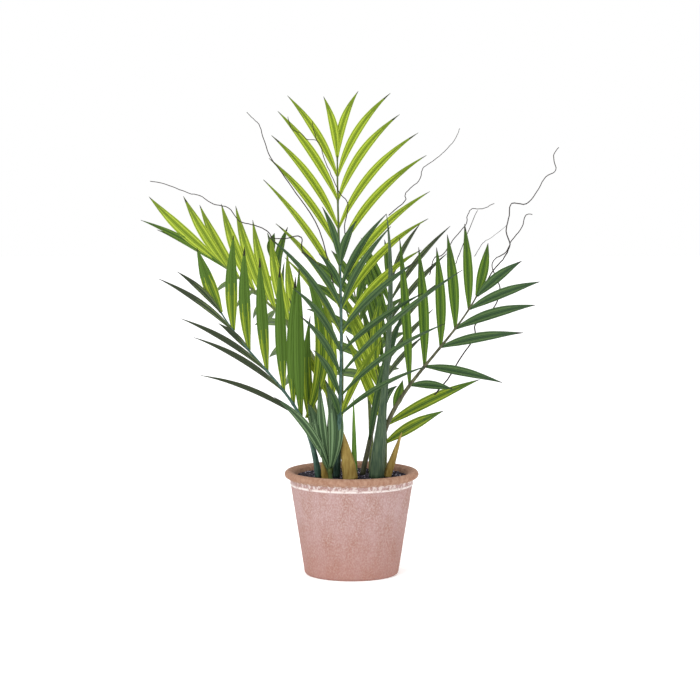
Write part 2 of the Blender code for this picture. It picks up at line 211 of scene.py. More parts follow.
FRONDS = (
    Frond(
        "tall_frond",
        curve=((-16, 10), (-5, 20, 229), (-16, 36, 347), (-16, 40, 466)),
        face=(0, -1, -0.1),
        joints=(1, 0.94, 0.866, 0.777, 0.703, 0.595, 0.52, 0.44),
        stem_radii=(2.8, 1.7),
        width=9.5,
        right=Side((77, 18), (110, 146, 132), (34, 45, 45), (14, 14), (10, 30), 0.32, {2: (118, 38)}),
        left=Side((69, 13), (106, 131, 108), (32, 36, 36), (14, 14), (10, 65), 0.22, {5: (147, 35)}),
        paints=("lime", "lime"),
        stem_paint="stem_green",
    ),
    Frond(
        "front_frond",
        curve=((-17, -12), (-12, -40, 193), (-10, -85, 276), (-12, -115, 354)),
        face=(0, -1, -0.3),
        joints=(1, 0.90, 0.81, 0.70, 0.60, 0.495, 0.388, 0.297),
        stem_radii=(3.9, 1.9),
        width=10.0,
        right=Side(
            (55, 19), (102, 160, 119), (29, 40, 52), (8, 8), (30, 40), 0.22,
            {2: (113, 28), 3: (120, 41), 4: (118, 47), 5: (190, 42), 6: (151, 47)},
        ),
        left=Side((71, 14), (49, 120, 60), (28, 33, 30), (8, 60), (20, 40), 0.2, {3: (143, 33, 8)}, 0.78),
        paints=("deep", "deep"),
        stem_paint="stem_teal",
    ),
    Frond(
        "left_front_frond",
        curve=((-37, -15), (-46, -35, 206), (-100, -65, 230), (-140, -100, 302)),
        face=(0.1, -1, 0.3),
        joints=(1, 0.89, 0.76, 0.62, 0.485, 0.40, 0.32),
        stem_radii=(3.6, 1.7),
        width=14.0,
        right=Side((79, 10), (105, 133, 171), (35.5, 36, 25.5), (0, 0), (0, 0), 0.08, {5: (144, 33)}),
        left=Side(
            (73, 14), (112, 130, 138), (17, 17, 35), (10, 10), (30, 20), 0.2, {2: (51, 7), 5: None}, 0.46
        ),
        paints=("upright", "shade"),
        stem_paint="stem_teal",
        upper=(0.62, -0.09),
    ),
    Frond(
        "left_back_frond",
        curve=((-23, 16), (-12, 35, 241), (-62, 85, 270), (-156, 120, 345)),
        face=(0.2, -1, 0.3),
        joints=(1, 0.943, 0.89, 0.81, 0.745, 0.695, 0.62, 0.545),
        stem_radii=(3.0, 1.7),
        width=12.5,
        right=Side(
            (114, 3), (108, 122, 112), (18, 29, 26), (0, 0), (0, 0), 0.1, {2: (105, 21), 4: (131, 28)}
        ),
        left=Side(
            (103, 12, 0), (85, 70, 40), (62, 72, 78), (-80, -86), (30, 30), 0.15,
            {1: (99, 10, -8), 6: None, 7: None}, 0.55,
        ),
        paints=("lime", "leaf"),
        stem_paint="stem_green",
    ),
    Frond(
        "right_frond",
        curve=((31, 1), (24, -12, 198), (101, -35, 246), (137, -45, 316)),
        face=(-0.1, -1, 0.3),
        joints=(1, 0.93, 0.82, 0.71, 0.59, 0.475, 0.34),
        stem_radii=(3.6, 2.2),
        width=11.5,
        right=Side(
            (64, 24), (87, 97, 60), (36, 43, 75), (10, 10), (25, 35), 0.16,
            {4: (95, 59), 5: (52, 55), 6: None},
        ),
        left=Side(
            (59, 16), (93, 119, 205), (36, 43, 36), (0, 0), (0, 0), 0.06, {2: (103, 43), 6: (34, 12)}
        ),
        paints=("deep", "leaf"),
        stem_paint="stem_brown",
    ),
    Frond(
        "right_back_frond",
        curve=((12, 6), (27, 20, 179), (45, 60, 246), (44, 110, 317)),
        face=(0, -1, 0.2),
        joints=(1, 0.90, 0.79, 0.68, 0.56, 0.45),
        stem_radii=(2.9, 1.7),
        width=8.5,
        right=Side((91, 24), (126, 102, 78), (33, 32, 29), (0, 0), (60, 60), 0.15),
        left=Side((62, 4), (93, 120, 110), (22, 21, 22), (0, 0), (20, 20), 0.05),
        paints=("shade", "leaf"),
        stem_paint="stem_brown",
    ),
    Frond(
        "back_left_frond",
        curve=((-30, 24), (-31, 50, 192), (-91, 120, 287), (-95, 150, 347)),
        face=(0.1, -1, 0.2),
        joints=(1, 0.88, 0.78, 0.68, 0.57, 0.46),
        stem_radii=(2.8, 1.6),
        width=11.0,
        right=Side((31, 11), (79, 95, 90), (24, 20, 30), (0, -75), (30, 30), 0.15),
        left=Side((32, 5), (75, 95, 95), (38, 60, 75), (-55, -80), (30, 30), 0.15),
        paints=("leaf", "leaf"),
        stem_paint="stem_green",
    ),
    Frond(
        "low_right_frond",
        curve=((36, 9), (40, 14, 150), (38, 22, 190), (27, 36, 226)),
        face=(0, -1, 0.2),
        joints=(1, 0.80, 0.46, 0.30),
        stem_radii=(2.6, 2.0),
        width=13.0,
        right=Side((90, 20), (105, 119, 74), (45, 67, 61), (0, 0), (20, 20), 0.1, {1: None}),
        left=Side((95, 6), (100, 112, 90), (12, 20, 20), (0, 0), (10, 10), 0.05, {3: None}),
        paints=("upright", "lime"),
        stem_paint="stem_green",
    ),
    Frond(
        "back_frond",
        curve=((22, 26), (24, 60, 185), (15, 130, 250), (2, 180, 310)),
        face=(0, -1, 0.3),
        joints=(1, 0.90, 0.80, 0.69, 0.58, 0.47),
        stem_radii=(2.8, 1.6),
        width=11.0,
        right=Side((60, 16), (95, 115, 100), (28, 40, 55), (0, -60), (10, 10), 0.2),
        left=Side((60, 16), (95, 115, 100), (28, 40, 55), (0, -60), (10, 10), 0.2),
        paints=("leaf", "leaf"),
        stem_paint="stem_green",
    ),
    Frond(
        "low_front_leaves",
        curve=((-23, -30), (-24, -30, 117), (-25, -30, 122), (-25, -31, 130)),
        face=(0, -1, 0),
        joints=(1, 0.75, 0.5),
        stem_radii=(2.2, 2.0),
        width=9.5,
        right=Side((86, 3), (0, 0, 0), (0, 0, 0), (0, 0), (0, 0), 0.0, {1: None, 2: None}),
        left=Side((92, 6), (78, 98, 118), (14, 25, 36), (6, 6), (0, 35), -0.12, {2: (114, 33, 38, 0.36)}),
        paints=("grey", "grey"),
        stem_paint="stem_green",
    ),
)


class Sheath(NamedTuple):
    """A pointed leaf base that stands on the soil, with its widest radius at its foot."""

    name: str
    foot: tuple
    tip: tuple
    radius: float
    paint: str
    slot: str


SHEATHS = (
    Sheath("centre_sheath", (-2, -25), (-10, -24, 164), 8.4, "ochre", "sheath"),
    Sheath("left_sheath", (-29.5, -22), (-33, -24, 129), 4.0, "ochre", "sheath"),
    Sheath("right_sheath", (39, -7), (56, -4, 160), 4.6, "ochre", "sheath"),
    Sheath("young_leaf", (3, -12), (2, -14, 200), 3.2, "bright", "leaf_yellow_green"),
)
# Radius as a part of the widest, by share of the length
SHEATH_PROFILE = ((0, 1), (0.3, 0.92), (0.62, 0.62), (0.86, 0.3), (1, 0.08))

# Rolled spear leaf: its curve, and its radius by share of the length
SPEAR_CURVE = ((27, -16), (36, -16, 205), (50, -18, 320), (38.4, -20, 404))
SPEAR_PROFILE = (
    (0, 8.4), (0.1, 7.6), (0.25, 4.4), (0.42, 3.0), (0.62, 2.9), (0.8, 2.2), (0.93, 1.1), (1, 0.3),
)


class InnerLeaf(NamedTuple):
    """A single leaf among the stems: its foot and tip, its bulge to the right and its width.

    All are in mm. turn is how far its blade turns about its own length, in degrees.
    """

    foot: tuple
    tip: tuple
    bulge: float
    width: float
    turn: float


INNER_LEAVES = {
    "lime": (
        InnerLeaf((-22, 4, 190), (-33, 14, 316), 4, 13, 15),
        InnerLeaf((-22, 8, 190), (-70, 16, 271), 3, 9, 30),
        InnerLeaf((-14, 12, 170), (34, 20, 262), -4, 9, 25),
    ),
    "upright": (
        InnerLeaf((-50, -2, 176), (-54, 10, 343), 19, 17, 10),
        InnerLeaf((-40, 2, 152), (-46, 4, 290), -7, 12, 25),
    ),
    "deep": (
        InnerLeaf((-60, 0, 200), (-70, 6, 310), 8, 10, 30),
        InnerLeaf((20, 8, 150), (60, 12, 300), -5, 10, 20),
    ),
    "grey": (
        InnerLeaf((-23, -35, 124), (-29, -39, 223), 9, 18, 20),
        InnerLeaf((-33, -37, 137), (-46, -40, 196), 3, 11, 30),
        InnerLeaf((38, -8, 190), (51, -10, 213), -5, 9, 20),
    ),
}


class Twig(NamedTuple):
    """A dry wire twig: its depth at its outer and inner end, its route and its radius, in mm.

    The route is listed from the outer end by the distance to the right and the height.
    """

    depths: tuple
    route: tuple
    radius: float = 0.68


TWIGS = (
    Twig((70, -20), (
        (-229, 438), (-212, 435), (-185, 425), (-171, 422), (-156, 413), (-139, 409), (-126, 394),
        (-109, 390), (-95, 384), (-87, 376), (-73, 376), (-61, 379), (-55, 376), (-55, 364),
        (-47, 357), (-35, 347),
    ), 0.75),
    Twig((30, 10), (
        (-117, 516), (-108, 507), (-103, 502), (-98, 486), (-91, 467), (-81, 453), (-62, 426),
        (-36, 385), (-19, 318),
    )),
    Twig((22, 10), (
        (-71, 511), (-67, 498), (-57, 493), (-50, 486), (-37, 483), (-30, 463), (-21, 443),
        (-13, 426), (-4, 414), (-8, 389), (-6, 376),
    ), 0.6),
    Twig((22, 20), ((-44, 506), (-40, 488), (-36, 481)), 0.6),
    Twig((10, 0), (
        (120, 498), (114, 485), (100, 470), (87, 460), (79, 454), (75, 441), (60, 427), (59, 418),
        (41, 402),
    ), 0.55),
    Twig((-20, 10), (
        (157, 416), (144, 410), (133, 410), (128, 402), (127, 393), (115, 378), (102, 359),
        (92, 354), (87, 335),
    )),
    Twig((-18, 5), ((139, 408), (136, 402), (121, 363), (116, 348)), 0.55),
    Twig((-60, 20), (
        (224, 478), (219, 469), (222, 453), (212, 446), (203, 430), (192, 416), (176, 416),
        (174, 402), (171, 385), (176, 370), (170, 355), (159, 341), (147, 321),
    ), 0.8),
    Twig((-20, 15), (
        (199, 404), (192, 403), (188, 390), (177, 375), (171, 362), (159, 354), (156, 344),
        (164, 325), (164, 311), (155, 295), (138, 280), (137, 265), (120, 239), (108, 218),
        (93, 200),
    ), 0.85),
    Twig((0, 10), ((172, 391), (155, 377), (146, 371), (137, 356)), 0.35),
)

# Moulded polyethylene leaves: satin and dyed in the mass. Plain colours in stripes, veins and tips
# let the pleats read at arm's length: the pale stripes and edges are painted light, the dark veins
# are veins and painted shade, and the tips are dyed. Each kind has its slot, then the colours of its parts
LEAF_PARTS = ("Blade", "Stripe", "Midrib", "Upper", "Tip")
PAINTS = {
    "lime": ("leaf_yellow_green", "#879A1C", "#9CAE32", "#5C740C", "#6C8018", "#353D14"),
    "leaf": ("leaf_mid_green", "#456312", "#557119", "#284707", "#3C5514", "#21240E"),
    "deep": ("leaf_dark_green", "#375329", "#465F33", "#203C1E", "#324A2A", "#1D1E14"),
    "upright": ("leaf_mid_green", "#677F15", "#80911D", "#3A560A", "#48661A", "#22270E"),
    # shade is painted shade: the leaf colours darkened for leaflets that lie in shadow
    "shade": ("leaf_dark_green", "#354225", "#546139", "#23321A", "#303722", "#181A13"),
    "grey": ("leaf_grey_green", "#3C5631", "#647D57", "#284024", "#415639", "#283222"),
}
LEAF_ROUGHNESS = 0.5

# Moulded and painted polyethylene stems: satin, in long streaks of a dark and a light paint.
# Each has its two paints, a size in mm, the waves in it by axis, roughness and relief in mm
STREAKS = {
    "stem_green": ("#3D4F25", "#646E39", 9.0, (3, 3, 0.5), 0.5, 0.2),
    "stem_teal": ("#274239", "#4F6B5F", 9.0, (3, 3, 0.5), 0.5, 0.2),
    "stem_brown": ("#393A29", "#5C5C40", 9.0, (3, 3, 0.5), 0.5, 0.2),
    # Sheaths and the young leaf: longer streaks, like the fibres of a dry leaf base
    "ochre": ("#7D652A", "#9B8648", 7.0, (3, 3, 0.4), 0.55, 0.2),
    "bright": ("#4B7221", "#72943D", 7.0, (3, 3, 0.4), 0.55, 0.2),
    # Rolled spear leaf: grey-green, with the finest streaks
    "spear": ("#293F2E", "#4D5E44", 6.0, (4, 4, 0.35), 0.5, 0.2),
    # Wire wrapped in paper tape: matt and nearly black, so that the twigs read as thin lines
    "twig": ("#1F1B19", "#37302A", 5.0, (1, 1, 1), 0.8, 0.0),
}
STREAK_DETAIL = 4.0
STREAK_SPREAD = (0.35, 0.65)
STREAK_RELIEF_STRENGTH = 0.6
PLASTIC_GLOSS = 0.22

# Dyed gravel: matt broken stone, nearly black, with grey and pale lilac grains that stand out.
# Each has its colour and roughness
GRAVEL = {"Grey": ("#4E4955", 0.8), "Pale": ("#93909F", 0.7)}
DARK_GRAVEL = "#26202A"
DARK_GRAVEL_ROUGHNESS = 0.9

# Unglazed fired terracotta, turned and worn: dusty and matt, dulled pink by lime that dried on
# it. Its grit is finer than the grain here, which is as coarse as it needs to be to show
CLAY_ROUGHNESS = 0.92
CLAY_GLOSS = 0.2
CLAY_RELIEF = 0.5
CLAY_RELIEF_STRENGTH = 0.7
# Each noise: width of its patches in mm, upright scale, detail, and where it goes from 0 to 1
CLAY_PATCHES = {
    "clouds": (14, 0.45, 5.0, 0.3, 0.7),
    "grain": (1.5, 0.7, 3.0, 0.4, 0.75),
    "rim clouds": (3, 0.6, 3.0, 0.35, 0.7),
    "line gaps": (4, 1.0, 4.0, 0.32, 0.46),
    "crust gaps": (3.5, 0.8, 5.0, 0.5, 0.6),
}
# Each band: the heights in mm at which it goes from 0 to 1
CLAY_BANDS = {
    "low down": (75, 0),
    "rim band": (106.8, 107.8),
    "line foot": (100.3, 101.4),
    "line top": (103.6, 102.6),
    "crust foot": (101.4, 103.5),
    "crust top": (110.5, 107),
}
# Each coat: its result, the colour under it, its own colour, its share, and where it lies
CLAY_COATS = (
    ("body", "#977268", "#A68785", 1, ("clouds",)),
    ("body", "body", "#B69F9B", 1, ("grain",)),
    ("body", "body", "#986858", 0.55, ("low down",)),
    ("rim", "#916C58", "#A88672", 1, ("rim clouds",)),
    ("clay", "body", "rim", 1, ("rim band",)),
    ("clay", "clay", "#DCD2CE", 1, ("line foot", "line top", "line gaps")),
    ("clay", "clay", "#D8CCC8", 0.75, ("crust foot", "crust top", "crust gaps")),
)


# Colours and nodes

# Places of a Mix node's colour sockets
MIX_UNDER = 6
MIX_OVER = 7
MIX_COLOUR = 2
# Places of a Random Value node's number sockets
NUMBER_MIN = 2
NUMBER_MAX = 3


def linear(code):
    """An sRGB hex colour as linear red, green, blue and alpha."""
    parts = [int(code[i : i + 2], 16) / 255 for i in (1, 3, 5)]
    return (*[c / 12.92 if c <= 0.04045 else ((c + 0.055) / 1.055) ** 2.4 for c in parts], 1.0)


def add_node(tree, kind, inputs=None, **settings):
    """A shader or geometry node with its settings and its inputs, each a value or a link."""
    node = tree.nodes.new(kind)
    for key, value in settings.items():
        setattr(node, key, value)
    for key, value in (inputs or {}).items():
        if isinstance(value, bpy.types.NodeSocket):
            tree.links.new(value, node.inputs[key])
        else:
            node.inputs[key].default_value = value
    return node


def new_material(name, roughness, gloss):
    """A material with its roughness and its gloss set, and its shader."""
    material = bpy.data.materials.new(name)
    material.use_nodes = True
    shader = material.node_tree.nodes["Principled BSDF"]
    shader.inputs["Roughness"].default_value = roughness
    shader.inputs["Specular IOR Level"].default_value = gloss
    return material, shader


def plain_material(name, colour, roughness):
    """A material of one linear colour, for a leaflet's stripes and tips or a single granule."""
    material, shader = new_material(name, roughness, PLASTIC_GLOSS)
    shader.inputs["Base Color"].default_value = colour
    return material


def streaked_material(kind):
    """Satin paint that wanders between two colours in streaks, with a fine relief."""
    dark, light, size, waves, roughness, relief = STREAKS[kind]
    material, shader = new_material(f"painted polyethylene {kind}", roughness, PLASTIC_GLOSS)
    tree = material.node_tree
    place = add_node(tree, "ShaderNodeTexCoord").outputs["Object"]
    mapped = add_node(tree, "ShaderNodeMapping", {"Vector": place, "Scale": waves}).outputs["Vector"]
    grain = {"Vector": mapped, "Scale": 1 / (size * MM), "Detail": STREAK_DETAIL}
    streaks = add_node(tree, "ShaderNodeTexNoise", grain).outputs["Fac"]
    paint = add_node(tree, "ShaderNodeValToRGB", {"Fac": streaks})
    for step, share, code in zip(paint.color_ramp.elements, STREAK_SPREAD, (dark, light)):
        step.position = share
        step.color = linear(code)
    tree.links.new(paint.outputs["Color"], shader.inputs["Base Color"])
    if relief:
        height = {"Height": streaks, "Distance": relief * MM, "Strength": STREAK_RELIEF_STRENGTH}
        raised = add_node(tree, "ShaderNodeBump", height)
        tree.links.new(raised.outputs["Normal"], shader.inputs["Normal"])
    return material


def terracotta_material():
    """Dusty pink clay, more orange at the rim and low down, with a lime crust under the rim."""
    material, shader = new_material("unglazed fired terracotta", CLAY_ROUGHNESS, CLAY_GLOSS)
    tree = material.node_tree
    place = add_node(tree, "ShaderNodeTexCoord").outputs["Object"]
    height = add_node(tree, "ShaderNodeSeparateXYZ", {"Vector": place}).outputs["Z"]
    noises, ranges = {}, {}
    for name, (width, upright, detail, low, high) in CLAY_PATCHES.items():
        drawn = add_node(tree, "ShaderNodeMapping", {"Vector": place, "Scale": (1, 1, upright)})
        grain = {"Vector": drawn.outputs["Vector"], "Scale": 1 / (width * MM), "Detail": detail}
        noises[name] = add_node(tree, "ShaderNodeTexNoise", grain).outputs["Fac"]
        ranges[name] = (noises[name], low, high)
    for name, (low, high) in CLAY_BANDS.items():
        ranges[name] = (height, low * MM, high * MM)
    masks = {}
    for name, (value, low, high) in ranges.items():
        limits = {"Value": value, "From Min": low, "From Max": high}
        masks[name] = add_node(tree, "ShaderNodeMapRange", limits).outputs["Result"]
    colours = {}
    for result, under, over, share, where in CLAY_COATS:
        amount = share
        for name in where:
            product = add_node(tree, "ShaderNodeMath", {0: amount, 1: masks[name]}, operation="MULTIPLY")
            amount = product.outputs[0]
        under, over = (colours[code] if code in colours else linear(code) for code in (under, over))
        coat = {"Factor": amount, MIX_UNDER: under, MIX_OVER: over}
        colours[result] = add_node(tree, "ShaderNodeMix", coat, data_type="RGBA").outputs[MIX_COLOUR]
    tree.links.new(colours["clay"], shader.inputs["Base Color"])
    relief = {"Height": noises["grain"], "Distance": CLAY_RELIEF * MM, "Strength": CLAY_RELIEF_STRENGTH}
    raised = add_node(tree, "ShaderNodeBump", relief)
    tree.links.new(raised.outputs["Normal"], shader.inputs["Normal"])
    return material


# Curves and charts, as in the solids


def curve_point(curve, t):
    """The point at t, from 0 to 1, on the cubic curve from a foot on the soil to a tip."""
    foot, rise, bend, tip = curve
    handles = (Vector((*foot, SOIL_HEIGHT + MEETING_GAP)), Vector(rise), Vector(bend), Vector(tip))
    weights = ((1 - t) ** 3, 3 * (1 - t) ** 2 * t, 3 * (1 - t) * t**2, t**3)
    return sum((w * h for w, h in zip(weights, handles)), Vector()) * MM


class Rib:
    """A frond's rib, read by the share of its length from the soil."""

    SAMPLES = 200

    def __init__(self, frond):
        self.points = [curve_point(frond.curve, i / self.SAMPLES) for i in range(self.SAMPLES + 1)]
        self.runs = [0.0]
        for a, b in zip(self.points, self.points[1:]):
            self.runs.append(self.runs[-1] + (b - a).length)
        self.length = self.runs[-1]

    def at(self, share):
        wanted = min(max(share, 0.0), 1.0) * self.length
        i = 0
        while i < self.SAMPLES - 1 and self.runs[i + 1] < wanted:
            i += 1
        along = (wanted - self.runs[i]) / (self.runs[i + 1] - self.runs[i])
        return self.points[i].lerp(self.points[i + 1], along)

    def heading(self, share):
        reach = 1 / self.SAMPLES
        return (self.at(share) - self.at(share - reach)).normalized()


def frond_axes(rib, share, face):
    """Along the rib, across it to the right as its face is seen, and out of its face."""
    along = rib.heading(share)
    across = along.cross(Vector(face).normalized()).normalized()
    return along, across, across.cross(along)


def between(values, share):
    """The value at share on the parabola through the first, middle and last value."""
    first, middle, last = values
    return first + (4 * middle - 3 * first - last) * share + (2 * first - 4 * middle + 2 * last) * share**2


def mix(pair, share):
    """The value at share of the way between two."""
    return pair[0] + (pair[1] - pair[0]) * share


def profile(chart, share):
    """The value at share between a chart's pairs, even from one to the next."""
    for (a, low), (b, high) in zip(chart, chart[1:]):
        if share <= b:
            return low + (high - low) * (share - a) / (b - a)
    return chart[-1][1]


def leaflet_chart(side, index, count):
    """Length, angle, lift and bow of one leaflet, or None where the frond has none."""
    share = (index - 1) / max(count - 2, 1)
    chart = (between(side.lengths, share), between(side.angles, share))
    if index == 0:
        chart = side.end
    if index in side.odd:
        chart = side.odd[index]
    if chart is None:
        return None
    usual = (mix(side.lift, index / (count - 1)), side.bow)
    return (*chart, *usual[len(chart) - 2 :])


class Blade(NamedTuple):
    """What one blade is made by: its vectors in metres, its width in mm and its upper paint's start.

    way runs from its foot to its tip, bow is the way it bends, and flat lies across it.
    """

    foot: Vector
    way: Vector
    bow: Vector
    flat: Vector
    width: float
    upper: float


def side_blades(frond, rib, right):
    """The blades on one side of a frond, from the tip down."""
    side = frond.right if right else frond.left
    hand = 1 if right else -1
    count = len(frond.joints)
    blades = []
    for index, joint in enumerate(frond.joints):
        chart = leaflet_chart(side, index, count)
        if chart is None:
            continue
        length, angle, lift, bend = chart
        length *= MM
        along, across, out = frond_axes(rib, joint, frond.face)
        lift = math.radians(lift)
        sideways = hand * across * math.cos(lift) + out * math.sin(lift)
        turn = math.radians(angle)
        way = along * math.cos(turn) + sideways * math.sin(turn)
        bow = sideways * math.cos(turn) - along * math.sin(turn)
        roll = Matrix.Rotation(math.radians(mix(side.roll, index / (count - 1))) * hand, 3, way)
        foot = rib.at(joint) + sideways * RIB_GAP * MM
        upper = frond.upper[0] + frond.upper[1] * index
        flat = roll @ bow * hand
        blades.append(Blade(foot, way * length, bow * bend * length, flat, frond.width * side.slim, upper))
    return blades


def inner_blades(leaves):
    """The blade of each single leaf among the stems."""
    blades = []
    for leaf in leaves:
        foot = Vector(leaf.foot) * MM
        way = (Vector(leaf.tip) - Vector(leaf.foot)) * MM
        aside = Vector((0, 1, 0)).cross(way).normalized()
        bow = leaf.bulge / MIDDLE_BOW * MM * aside
        flat = Matrix.Rotation(math.radians(leaf.turn), 3, way.normalized()) @ aside
        blades.append(Blade(foot, way, bow, flat, leaf.width, INNER_UPPER))
    return blades


def wandering(points, steps, wander, seed):
    """A smooth line through points with a small seeded wander between them."""
    dice = random.Random(seed)
    line = []
    for i in range(len(points) - 1):
        before, after = points[max(i - 1, 0)], points[min(i + 2, len(points) - 1)]
        for k in range(steps):
            t = k / steps
            a = (points[i + 1] - before) / 2
            b = (after - points[i]) / 2
            spot = (
                (2 * t**3 - 3 * t**2 + 1) * points[i]
                + (t**3 - 2 * t**2 + t) * a
                + (3 * t**2 - 2 * t**3) * points[i + 1]
                + (t**3 - t**2) * b
            )
            off = Vector([dice.uniform(-wander, wander) for _ in range(3)])
            line.append(spot + (off if k else Vector()))
    line.append(points[-1])
    return line


def rounded(radius, height, size, start, step):
    """Points of an arc in the pot's section, from start degrees to straight down."""
    turns = [math.radians(degrees) for degrees in range(start, STRAIGHT_DOWN - 1, -step)]
    return [(radius + size * math.cos(turn), height + size * math.sin(turn)) for turn in turns]


def pot_section():
    """The pot's section from the underside over the rim to the inside floor, in mm."""
    slope = (SHOULDER_RADIUS - FOOT_RADIUS) / (SHOULDER_HEIGHT - FOOT_ROUNDING)
    mouth = SHOULDER_RADIUS - WALL
    section = [(FOOT_RADIUS - WALL, POT_FLOOR)]
    section += [(mouth - inset, POT_HEIGHT - depth) for depth, inset in MOUTH_SECTION]
    bead = (RIM_RADIUS - RIM_BEAD_RADIUS, POT_HEIGHT - RIM_BEAD_RADIUS, RIM_BEAD_RADIUS)
    section += rounded(*bead, RIM_BEAD_START, RIM_BEAD_STEP)
    drop = (BODY_TOP - FOOT_ROUNDING) / BODY_RINGS
    body = [(BODY_TOP - i * drop, 0) for i in range(BODY_RINGS)]
    for height, proud in (*LINE_SECTION, *body):
        section.append((FOOT_RADIUS + slope * (height - FOOT_ROUNDING) + proud, height))
    section += rounded(FOOT_RADIUS - FOOT_ROUNDING, FOOT_ROUNDING, FOOT_ROUNDING, 0, FOOT_STEP)
    return reversed(section)


# Geometry Nodes trees

# Each row: a result, the operation, and its terms by name or number. An operation works on
# vectors where its first term is one. rest is 0 at a blade's foot and tip, and -0.25 between
LEAFLET_FORMULAS = (
    ("wide", "MULTIPLY", "width", "outline"),
    ("normal", "CROSS_PRODUCT", "way", "flat"),
    ("normal", "NORMALIZE", "normal"),
    ("angle", "SUBTRACT", "along", TWIST_START),
    ("angle", "MULTIPLY", "twist", "angle"),
    ("cosine", "COSINE", "angle"),
    ("sine", "SINE", "angle"),
    ("turned", "SCALE", "flat", "cosine"),
    ("turned", "MULTIPLY_ADD", "normal", "sine", "turned"),
    ("upright", "CROSS_PRODUCT", "way", "turned"),
    ("upright", "NORMALIZE", "upright"),
    ("from midrib", "ABSOLUTE", "across"),
    ("folded", "MULTIPLY", "from midrib", "Fold"),
    ("pleat", "MULTIPLY", "from midrib", PLEATS),
    ("pleat", "PINGPONG", "pleat", 1.0),
    ("raised", "MULTIPLY_ADD", "pleat", "Pleat depth", "folded"),
    ("lifted", "MULTIPLY", "raised", "wide"),
    ("sideways", "MULTIPLY", "across", "wide"),
    ("squared", "MULTIPLY", "along", "along"),
    ("rest", "SUBTRACT", "squared", "along"),
    ("arched", "MULTIPLY", "rest", "arch"),
    ("place", "MULTIPLY_ADD", "way", "along", "foot"),
    ("place", "MULTIPLY_ADD", "bow", "rest", "place"),
    ("place", "MULTIPLY_ADD", "normal", "arched", "place"),
    ("place", "MULTIPLY_ADD", "turned", "sideways", "place"),
    ("place", "MULTIPLY_ADD", "upright", "lifted", "place"),
    # Painted light in a pale stripe and edge; the dark veins are veins and painted shade
    ("stripe", "COMPARE", "from midrib", STRIPE_PLACE, STRIPE_REACH),
    ("edge", "GREATER_THAN", "from midrib", PALE_EDGE),
    ("in Stripe", "MAXIMUM", "stripe", "edge"),
    ("frayed", "MULTIPLY", "across", FRAY_WAVES),
    ("frayed", "PINGPONG", "frayed", 1.0),
    ("frayed", "MULTIPLY_ADD", "frayed", FRAY_DEPTH, "along"),
    ("in Upper", "GREATER_THAN", "frayed", "upper"),
    ("inner vein", "COMPARE", "from midrib", INNER_VEIN_AND_SHADE, VEIN_AND_SHADE_REACH),
    ("outer vein and shade", "COMPARE", "from midrib", OUTER_VEIN_AND_SHADE, VEIN_AND_SHADE_REACH),
    ("veins and shade", "MAXIMUM", "inner vein", "outer vein and shade"),
    ("middle", "LESS_THAN", "from midrib", MIDRIB_REACH),
    ("in Midrib", "MAXIMUM", "middle", "veins and shade"),
    ("in Tip", "GREATER_THAN", "along", "tip"),
)
LEAFLET_VECTORS = ("foot", "way", "bow", "flat")
LEAFLET_NUMBERS = ("along", "across", "width", "arch", "twist", "upper", "tip")
PAINT_ORDER = ("Blade", "Stripe", "Upper", "Midrib", "Tip")


def new_tree(name, inputs):
    """A geometry tree with its named inputs, and the outputs of its first node."""
    tree = bpy.data.node_groups.new(name, "GeometryNodeTree")
    tree.interface.new_socket("Geometry", in_out="OUTPUT", socket_type="NodeSocketGeometry")
    tree.interface.new_socket("Geometry", in_out="INPUT", socket_type="NodeSocketGeometry")
    for label, (kind, value) in inputs.items():
        socket = tree.interface.new_socket(label, in_out="INPUT", socket_type=f"NodeSocket{kind}")
        if value is not None:
            socket.default_value = value
    return tree, add_node(tree, "NodeGroupInput").outputs


def add_formulas(tree, known, rows):
    """Work out rows of a result, an operation and its terms, and add the results to known."""
    for result, operation, *terms in rows:
        values = [known[term] if isinstance(term, str) else term for term in terms]
        kind = "VectorMath" if values[0].type == "VECTOR" else "Math"
        keys = (0, "Scale") if operation == "SCALE" else (0, 1, 2)
        node = add_node(tree, f"ShaderNode{kind}", dict(zip(keys, values)), operation=operation)
        known[result] = node.outputs[0]


def end_tree(tree, geometry, start, chosen):
    """Set each material where it is chosen, one over the other, and end the tree."""
    for label, where in chosen.items():
        paint = {"Geometry": geometry, "Selection": where, "Material": start[label]}
        geometry = add_node(tree, "GeometryNodeSetMaterial", paint).outputs["Geometry"]
    add_node(tree, "NodeGroupOutput", {0: geometry})


